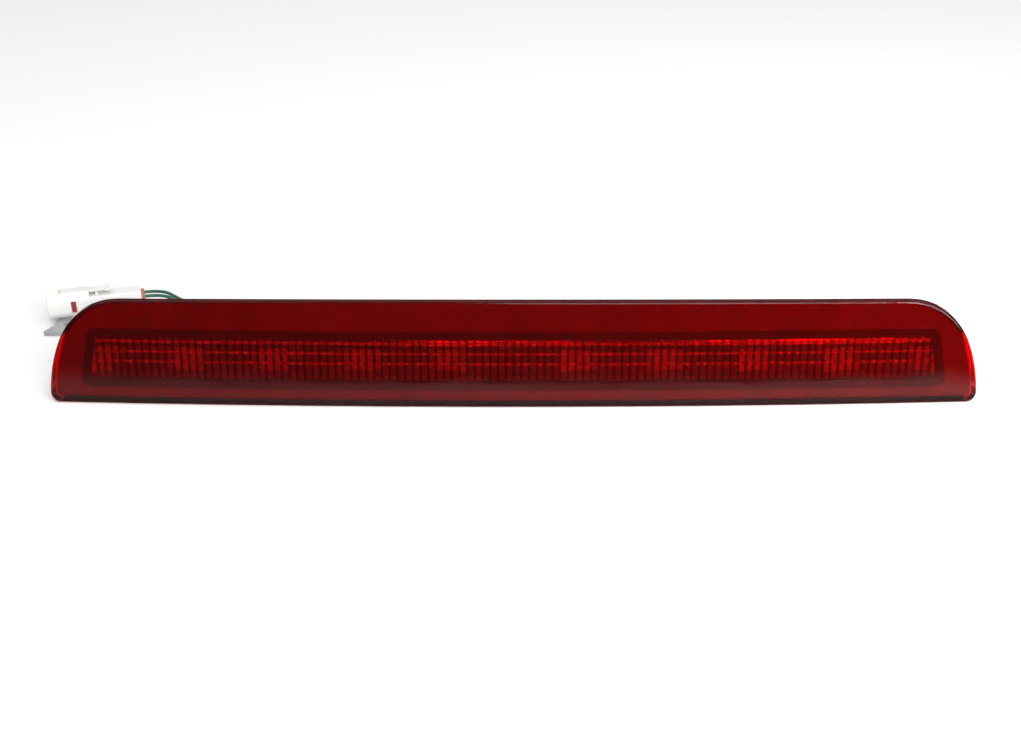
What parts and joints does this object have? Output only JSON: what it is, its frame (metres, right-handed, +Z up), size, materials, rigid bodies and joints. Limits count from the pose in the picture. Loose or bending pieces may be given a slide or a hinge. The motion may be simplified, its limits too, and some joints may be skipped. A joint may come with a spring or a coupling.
{
  "type": "third brake light",
  "caption": "Wide bowed red brake lamp with a fluted lit window, grey rear housing on two studs, and two short wires to a white connector.",
  "frame": {"origin": "under the middle of the lamp, at the level of its lower edge, which it stands on", "axes": "+X along the lamp's width, -Y is the lit face, +Y is the mounting side, +Z up"},
  "size_m": [0.4128, 0.1001, 0.0436],
  "materials": {
    "red_lens": "clear red PMMA, polished",
    "optic_clear": "clear plate with upright flutes",
    "black_plastic": "black ABS",
    "metallised": "vacuum-metallised plastic",
    "board": "white solder mask on FR4",
    "component_black": "moulded epoxy",
    "ceramic": "ceramic",
    "terminal_white": "nylon terminal block",
    "wire_green": "dark green PVC insulation",
    "zinc_steel": "zinc-plated steel",
    "housing_grey": "grey ABS, fine texture",
    "sealant": "cured adhesive bead",
    "foam": "closed-cell EPDM foam",
    "black_rubber": "EPDM rubber",
    "vent_black": "polypropylene vent",
    "nylon_white": "natural white nylon",
    "retainer_red": "red PBT",
    "seal_brown": "brown silicone rubber",
    "terminal_tin": "tinned brass",
    "clip_grey": "grey acetal",
    "led_package": "LED package with a clear dome"
  },
  "bodies": {
    "lamp": {"board_screws": "zinc_steel", "cable_grommet": "black_rubber", "connector_housing": "nylon_white", "connector_terminals": "terminal_tin", "filter_capacitor": "ceramic", "harness_clip": "clip_grey", "housing_gasket": "foam", "inner_leads": "wire_green", "inner_optic": "optic_clear", "led_01": "led_package", "led_02": "led_package", "led_03": "led_package", "led_04": "led_package", "led_05": "led_package", "led_06": "led_package", "led_07": "led_package", "led_08": "led_package", "led_09": "led_package", "led_10": "led_package", "led_board": "board", "led_resistors": "component_black", "mounting_stud_left": "zinc_steel", "mounting_stud_right": "zinc_steel", "outer_lens": "red_lens", "protection_diode": "component_black", "rear_housing": "housing_grey", "reflector": "metallised", "sealing_bead": "sealant", "vent_plug": "vent_black", "window_frame": "black_plastic", "wire_a": "wire_green", "wire_b": "wire_green", "wire_seals": "seal_brown", "wire_terminal": "terminal_white"},
    "lock_lever": {"connector_lock_lever": "nylon_white"},
    "retainer": {"terminal_retainer": "retainer_red"}
  },
  "joints": [
    {"name": "lock_lever_press", "type": "hinge", "parent": "lamp", "child": "lock_lever", "pos_m": [-0.19673, 0.06499, 0.0138], "axis": [-0.284, 0.9588, 0], "range_deg": [0, 6], "stiffness_Nm_per_rad": 0.3},
    {"name": "retainer_pull", "type": "slide", "parent": "lamp", "child": "retainer", "axis": [0.284, -0.9588, 0], "range_m": [0, 0.0012]}
  ]
}
